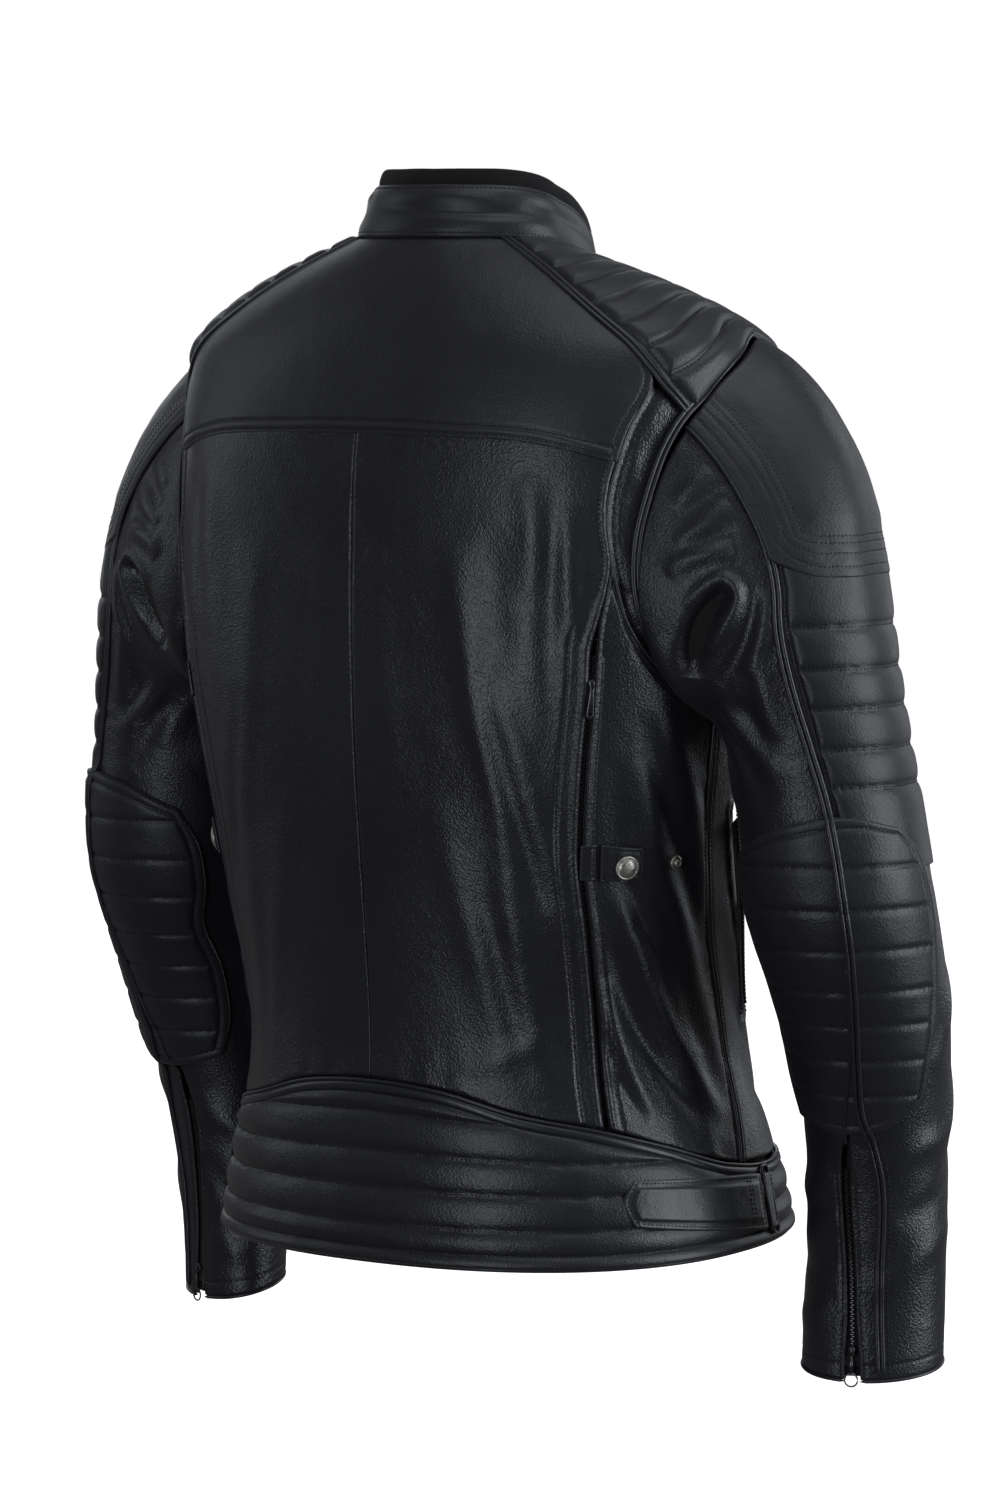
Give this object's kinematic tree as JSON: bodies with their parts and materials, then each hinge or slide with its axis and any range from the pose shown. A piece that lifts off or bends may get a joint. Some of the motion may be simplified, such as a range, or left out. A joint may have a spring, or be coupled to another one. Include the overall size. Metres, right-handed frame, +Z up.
{
  "type": "leather riding jacket",
  "caption": "Padded leather riding jacket with quilted shoulders and elbows, stretch back panels, zipped vents, snap tabs and adjustable waist straps.",
  "frame": {"origin": "centre of the collar seam, on the jacket's mid plane at the height of its back point", "axes": "+Z up towards the wearer's head, +Y out of the wearer's back, -Y out of the chest, -X to the wearer's right"},
  "size_m": [0.6702, 0.3445, 0.7862],
  "materials": {
    "body_leather": "soft waxed grain, medium sheen",
    "yoke_leather": "soft grain, medium sheen",
    "band_leather": "channel stitched over padding, satin",
    "collar_leather": "soft rolled edge, satin",
    "gusset_leather": "folded stretch leather, satin",
    "quilt_leather": "quilted over padding, matte",
    "sleeve_leather": "worn grain, semi-gloss",
    "strap_leather": "smooth pressed, satin",
    "lining": "fine mesh, matte",
    "zip_tape": "woven tape with gunmetal teeth",
    "armour_foam": "soft moulded foam, matte",
    "gunmetal": "dark plated, worn bright on edges",
    "antique_silver": "domed, darkened in the recesses"
  },
  "bodies": {
    "torso": {"back_yoke": "yoke_leather", "waistband": "band_leather", "collar_band": "collar_leather", "collar_lining": "lining", "torso_lining": "lining", "front_zip": "zip_tape", "back_panel_right": "body_leather", "action_gusset_right": "gusset_leather", "side_panel_right": "body_leather", "front_panel_right": "body_leather", "shoulder_quilt_right": "quilt_leather", "sleeve_head_right": "sleeve_leather", "vent_zip_right": "zip_tape", "pocket_zip_right": "zip_tape", "snap_stud_right": "antique_silver", "strap_ring_right": "gunmetal", "back_panel_left": "body_leather", "action_gusset_left": "gusset_leather", "side_panel_left": "body_leather", "front_panel_left": "body_leather", "shoulder_quilt_left": "quilt_leather", "sleeve_head_left": "sleeve_leather", "vent_zip_left": "zip_tape", "pocket_zip_left": "zip_tape", "snap_stud_left": "antique_silver", "strap_ring_left": "gunmetal"},
    "front_slider": {"front_slider": "gunmetal"},
    "front_pull": {"front_pull": "gunmetal"},
    "upper_arm_right": {"shoulder_cap_right": "quilt_leather", "upper_sleeve_right": "sleeve_leather", "under_sleeve_right": "sleeve_leather"},
    "forearm_right": {"forearm_outer_right": "sleeve_leather", "forearm_under_right": "sleeve_leather", "elbow_crease_right": "gusset_leather", "elbow_pad_right": "quilt_leather", "elbow_armour_right": "armour_foam", "cuff_zip_right": "zip_tape"},
    "vent_slider_right": {"vent_slider_right": "gunmetal"},
    "vent_pull_right": {"vent_pull_right": "gunmetal"},
    "cuff_slider_right": {"cuff_slider_right": "gunmetal"},
    "pocket_slider_right": {"pocket_slider_right": "gunmetal"},
    "waist_strap_right": {"waist_strap_right": "strap_leather"},
    "snap_tab_right": {"snap_tab_right": "strap_leather", "snap_cap_right": "antique_silver"},
    "upper_arm_left": {"shoulder_cap_left": "quilt_leather", "upper_sleeve_left": "sleeve_leather", "under_sleeve_left": "sleeve_leather"},
    "forearm_left": {"forearm_outer_left": "sleeve_leather", "forearm_under_left": "sleeve_leather", "elbow_crease_left": "gusset_leather", "elbow_pad_left": "quilt_leather", "elbow_armour_left": "armour_foam", "cuff_zip_left": "zip_tape"},
    "vent_slider_left": {"vent_slider_left": "gunmetal"},
    "vent_pull_left": {"vent_pull_left": "gunmetal"},
    "cuff_slider_left": {"cuff_slider_left": "gunmetal"},
    "pocket_slider_left": {"pocket_slider_left": "gunmetal"},
    "waist_strap_left": {"waist_strap_left": "strap_leather"},
    "snap_tab_left": {"snap_tab_left": "strap_leather", "snap_cap_left": "antique_silver"}
  },
  "joints": [
    {"name": "shoulder_swing_right", "type": "hinge", "parent": "torso", "child": "upper_arm_right", "pos_m": [-0.205, -0.01, -0.18], "axis": [-1, 0, 0], "range_deg": [-20, 30], "deforming": ["sleeve_head_right"]},
    {"name": "shoulder_swing_left", "type": "hinge", "parent": "torso", "child": "upper_arm_left", "pos_m": [0.205, -0.01, -0.18], "axis": [-1, 0, 0], "range_deg": [-20, 30], "deforming": ["sleeve_head_left"]},
    {"name": "elbow_bend_right", "type": "hinge", "parent": "upper_arm_right", "child": "forearm_right", "pos_m": [-0.271, -0.045, -0.45], "axis": [-1, 0, 0], "range_deg": [0, 55], "deforming": ["elbow_crease_right"]},
    {"name": "elbow_bend_left", "type": "hinge", "parent": "upper_arm_left", "child": "forearm_left", "pos_m": [0.271, -0.045, -0.45], "axis": [-1, 0, 0], "range_deg": [0, 55], "deforming": ["elbow_crease_left"]},
    {"name": "vent_slider_travel_right", "type": "hinge", "parent": "torso", "child": "vent_slider_right", "pos_m": [-0.51248, -0.46021, -0.33229], "axis": [-0.8209, 0.5463, -0.1667], "range_deg": [0, 16.9]},
    {"name": "vent_slider_travel_left", "type": "hinge", "parent": "torso", "child": "vent_slider_left", "pos_m": [0.51248, -0.46021, -0.33229], "axis": [-0.8209, -0.5463, 0.1667], "range_deg": [0, 16.9]},
    {"name": "vent_pull_swing_right", "type": "hinge", "parent": "vent_slider_right", "child": "vent_pull_right", "pos_m": [-0.16201, 0.09411, -0.28233], "axis": [0.754, 0.6535, 0.066], "range_deg": [0, 150]},
    {"name": "vent_pull_swing_left", "type": "hinge", "parent": "vent_slider_left", "child": "vent_pull_left", "pos_m": [0.16201, 0.09411, -0.28233], "axis": [0.754, -0.6535, -0.066], "range_deg": [0, 150]},
    {"name": "front_slider_travel", "type": "hinge", "parent": "torso", "child": "front_slider", "pos_m": [0, -2.8167, 0.1097], "axis": [-1, 0, 0], "range_deg": [0, 10.4]},
    {"name": "front_pull_swing", "type": "hinge", "parent": "front_slider", "child": "front_pull", "pos_m": [0, -0.1127, -0.07367], "axis": [-1, 0, 0], "range_deg": [0, 150]},
    {"name": "cuff_slider_travel_right", "type": "hinge", "parent": "forearm_right", "child": "cuff_slider_right", "pos_m": [-0.33662, 0.50922, -0.70973], "axis": [-0.9924, -0.123, 0.0003], "range_deg": [0, 10.6]},
    {"name": "cuff_slider_travel_left", "type": "hinge", "parent": "forearm_left", "child": "cuff_slider_left", "pos_m": [0.33662, 0.50922, -0.70973], "axis": [-0.9924, 0.123, -0.0003], "range_deg": [0, 10.6]},
    {"name": "pocket_slider_travel_right", "type": "slide", "parent": "torso", "child": "pocket_slider_right", "axis": [0.1956, -0.3787, -0.9046], "range_m": [0, 0.11]},
    {"name": "pocket_slider_travel_left", "type": "slide", "parent": "torso", "child": "pocket_slider_left", "axis": [-0.1956, -0.3787, -0.9046], "range_m": [0, 0.11]},
    {"name": "snap_tab_open_right", "type": "hinge", "parent": "torso", "child": "snap_tab_right", "pos_m": [-0.15442, 0.07359, -0.39934], "axis": [0.1344, -0.1369, -0.9814], "range_deg": [0, 140]},
    {"name": "snap_tab_open_left", "type": "hinge", "parent": "torso", "child": "snap_tab_left", "pos_m": [0.15442, 0.07359, -0.39934], "axis": [0.1344, 0.1369, 0.9814], "range_deg": [0, 140]},
    {"name": "waist_strap_open_right", "type": "hinge", "parent": "torso", "child": "waist_strap_right", "pos_m": [-0.18646, -0.07216, -0.63263], "axis": [0.1814, 0.0875, 0.9795], "range_deg": [0, 50]},
    {"name": "waist_strap_open_left", "type": "hinge", "parent": "torso", "child": "waist_strap_left", "pos_m": [0.18646, -0.07216, -0.63263], "axis": [0.1814, -0.0875, -0.9795], "range_deg": [0, 50]}
  ]
}
